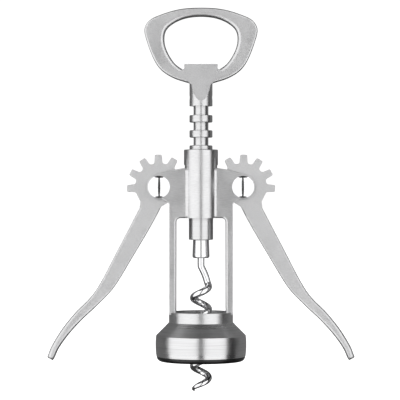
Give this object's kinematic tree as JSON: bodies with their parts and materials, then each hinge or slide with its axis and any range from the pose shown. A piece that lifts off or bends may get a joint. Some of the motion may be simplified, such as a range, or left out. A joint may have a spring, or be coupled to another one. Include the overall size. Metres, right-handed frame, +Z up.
{
  "type": "lever corkscrew",
  "caption": "Lever corkscrew: a bell for the bottle's neck, geared wing levers, a ringed rack turned and pushed by a loop handle with a cap-lifting tongue, and an open worm.",
  "frame": {"origin": "on the worm's axis, in the plane of the bell's open mouth", "axes": "+Z up the worm's axis to the handle, +X towards the right lever, -Y towards the viewer; the levers stand part open"},
  "size_m": [0.1358, 0.0402, 0.1701],
  "materials": {
    "satin_steel": "satin, brushed round the turned pieces",
    "polished_chrome": "polished",
    "plain_steel": "turned",
    "black_ring": "satin black",
    "white_washer": "plain"
  },
  "bodies": {
    "frame": {"frame_casting": "satin_steel", "bell": "satin_steel", "bottle_ring": "black_ring", "left_pivot_rivet": "polished_chrome", "right_pivot_rivet": "polished_chrome", "left_rivet_cap": "polished_chrome", "right_rivet_cap": "polished_chrome", "left_lever_washers": "white_washer", "right_lever_washers": "white_washer"},
    "left_lever": {"left_lever": "satin_steel"},
    "right_lever": {"right_lever": "satin_steel"},
    "rack": {"rack_sleeve": "satin_steel", "upper_thrust_washer": "plain_steel", "lower_thrust_washer": "plain_steel"},
    "screw": {"handle": "satin_steel", "handle_pin": "plain_steel", "core_rod": "plain_steel", "ferrule": "polished_chrome", "worm": "polished_chrome"}
  },
  "joints": [
    {"name": "left_lever_hinge", "type": "hinge", "parent": "frame", "child": "left_lever", "pos_m": [-0.01857, 0, 0.077], "axis": [0, 1, 0], "range_deg": [-25, 125]},
    {"name": "right_lever_hinge", "type": "hinge", "parent": "frame", "child": "right_lever", "pos_m": [0.01857, 0, 0.077], "axis": [0, -1, 0], "range_deg": [-25, 125]},
    {"name": "rack_slide", "type": "slide", "parent": "frame", "child": "rack", "axis": [0, 0, 1], "range_m": [-0.0276, 0.0056]},
    {"name": "screw_spin", "type": "hinge", "parent": "rack", "child": "screw", "pos_m": [0, 0, 0.1], "axis": [0, 0, 1], "continuous": true}
  ],
  "couplings": [
    {"joint": "right_lever_hinge", "follows": "left_lever_hinge", "ratio": 1},
    {"joint": "rack_slide", "follows": "left_lever_hinge", "m_per_rad": -0.012586}
  ]
}
